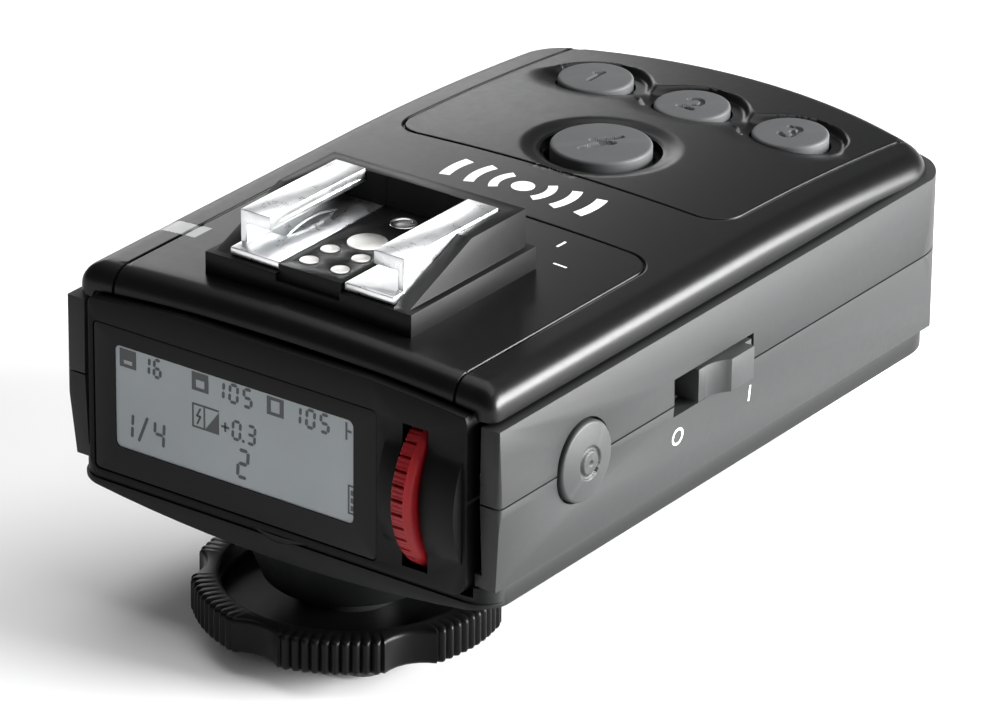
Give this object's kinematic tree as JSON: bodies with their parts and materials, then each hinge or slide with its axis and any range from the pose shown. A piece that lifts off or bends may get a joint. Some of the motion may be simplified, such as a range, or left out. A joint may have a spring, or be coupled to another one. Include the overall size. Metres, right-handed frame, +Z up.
{
  "type": "wireless flash trigger",
  "caption": "Flash trigger: black case with display, select wheel, side slider, push buttons, accessory shoe on top and a locking shoe foot below.",
  "frame": {"origin": "centre of the shoe foot's sole", "axes": "+Z up out of the foot, +Y from the display end towards the button end, +X towards the side with the slider"},
  "size_m": [0.0556, 0.0908, 0.045],
  "materials": {
    "cover_black": "fine satin",
    "shell_black": "fine grain",
    "base_black": "fine grain",
    "panel_black": "satin",
    "window": "polished, dark printed border",
    "lcd": "reflective display",
    "white_plastic": "moulded",
    "board_green": "solder mask",
    "dial_red": "satin",
    "steel": "plain",
    "inner_black": "moulded",
    "lens": "translucent",
    "shoe_black": "satin",
    "rail_chrome": "plated",
    "contact_metal": "plated",
    "button_grey": "satin",
    "select_grey": "satin",
    "slider_grey": "satin",
    "shield": "tin plate",
    "copper": "flat strip",
    "cell_wrap": "wrap",
    "foot_black": "satin",
    "wheel_black": "satin"
  },
  "bodies": {
    "case": {"top_cover": "cover_black", "upper_shell": "shell_black", "lower_shell": "shell_black", "base_plate": "base_black", "front_panel": "panel_black", "display_window": "window", "lcd_panel": "lcd", "lcd_holder": "white_plastic", "display_board": "board_green", "wheel_bracket": "inner_black", "light_lens": "lens", "shoe_base": "shoe_black", "shoe_rails": "rail_chrome", "shoe_deck": "shoe_black", "shoe_springs": "rail_chrome", "centre_contact": "contact_metal", "side_contacts": "contact_metal", "shoe_screws": "steel", "slide_switch": "steel", "main_board": "board_green", "side_board": "board_green", "push_switches": "steel", "side_push_switch": "steel", "radio_module": "shield", "antenna": "copper", "battery_tray": "inner_black", "cells": "cell_wrap", "cell_springs": "steel", "cell_plates": "steel", "case_screws": "steel", "board_screws": "steel", "pedestal": "base_black", "foot_stem": "foot_black", "foot_plate": "foot_black", "foot_contacts": "contact_metal"},
    "button_1": {"button_1": "button_grey"},
    "button_2": {"button_2": "button_grey"},
    "button_3": {"button_3": "button_grey"},
    "test": {"test_button": "button_grey"},
    "select": {"select_button": "select_grey"},
    "slider": {"power_slider": "slider_grey"},
    "dial": {"select_wheel": "dial_red", "wheel_axle": "steel"},
    "door": {"battery_door": "base_black"},
    "clamp": {"clamp_washer": "foot_black"},
    "lock": {"lock_wheel": "wheel_black"}
  },
  "joints": [
    {"name": "button_1_press", "type": "slide", "parent": "case", "child": "button_1", "axis": [0, 0, -1], "range_m": [0, 0.0005], "stiffness_N_per_m": 700, "springref_m": -0.0005},
    {"name": "button_2_press", "type": "slide", "parent": "case", "child": "button_2", "axis": [0, 0, -1], "range_m": [0, 0.0005], "stiffness_N_per_m": 700, "springref_m": -0.0005},
    {"name": "button_3_press", "type": "slide", "parent": "case", "child": "button_3", "axis": [0, 0, -1], "range_m": [0, 0.0005], "stiffness_N_per_m": 700, "springref_m": -0.0005},
    {"name": "test_press", "type": "slide", "parent": "case", "child": "test", "axis": [0, 0, -1], "range_m": [0, 0.0005], "stiffness_N_per_m": 700, "springref_m": -0.0005},
    {"name": "select_press", "type": "slide", "parent": "case", "child": "select", "axis": [-1, 0, 0], "range_m": [0, 0.0005], "stiffness_N_per_m": 700, "springref_m": -0.0005},
    {"name": "power_slide", "type": "slide", "parent": "case", "child": "slider", "axis": [0, 1, 0], "range_m": [-0.0038, 0]},
    {"name": "dial_turn", "type": "hinge", "parent": "case", "child": "dial", "pos_m": [0.0174, -0.00565, 0.0241], "axis": [1, 0, 0], "continuous": true},
    {"name": "door_slide", "type": "slide", "parent": "case", "child": "door", "axis": [0, 1, 0], "range_m": [0, 0.012]},
    {"name": "clamp_lift", "type": "slide", "parent": "case", "child": "clamp", "axis": [0, 0, 1], "range_m": [0, 0.002]},
    {"name": "lock_turn", "type": "hinge", "parent": "clamp", "child": "lock", "pos_m": [0, 0, 0.004], "axis": [0, 0, 1], "range_deg": [0, 900]}
  ],
  "couplings": [
    {"joint": "lock_turn", "follows": "clamp_lift", "rad_per_m": 7853.9}
  ]
}
